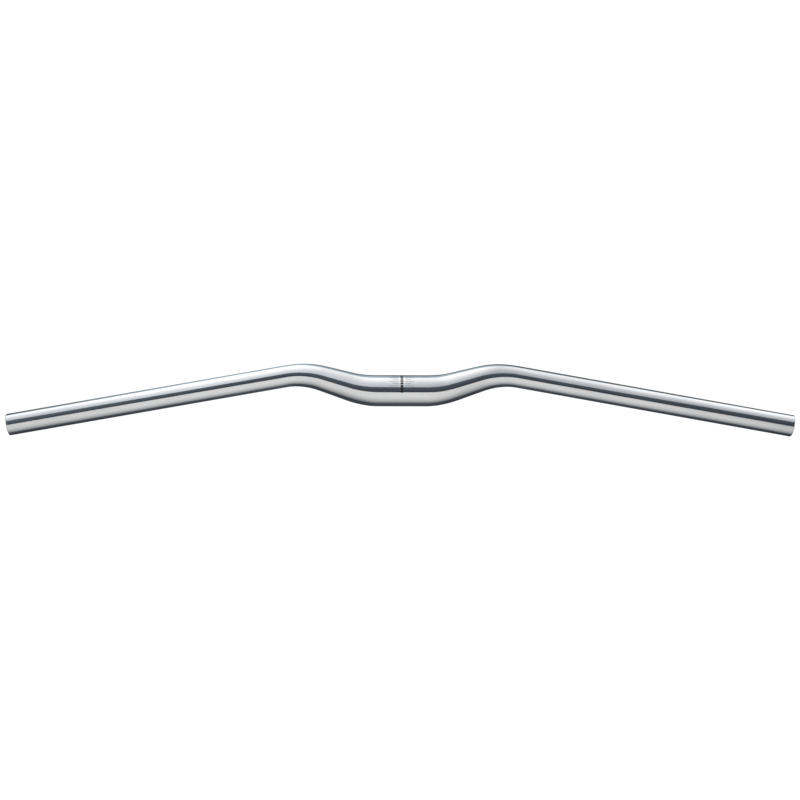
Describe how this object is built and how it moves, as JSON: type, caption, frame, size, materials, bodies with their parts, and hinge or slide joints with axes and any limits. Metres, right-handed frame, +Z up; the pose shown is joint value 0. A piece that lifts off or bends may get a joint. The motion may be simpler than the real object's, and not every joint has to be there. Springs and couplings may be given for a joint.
{
  "type": "flat handlebar",
  "caption": "Flat bicycle handlebar: polished aluminium tube that kicks forward beside the stem clamp, tapers, and sweeps back to straight ends for grips.",
  "frame": {"origin": "centre of the stem clamp seat, on the tube's centre line", "axes": "+X along the bar to its right-hand end, +Y to the front of the bicycle, +Z up; the bends lie in the XY plane"},
  "size_m": [0.8, 0.0732, 0.0318],
  "materials": {
    "polished_aluminium": "polished and clear anodised, a soft mirror"
  },
  "bodies": {
    "root": {"handlebar": "polished_aluminium"}
  },
  "joints": []
}
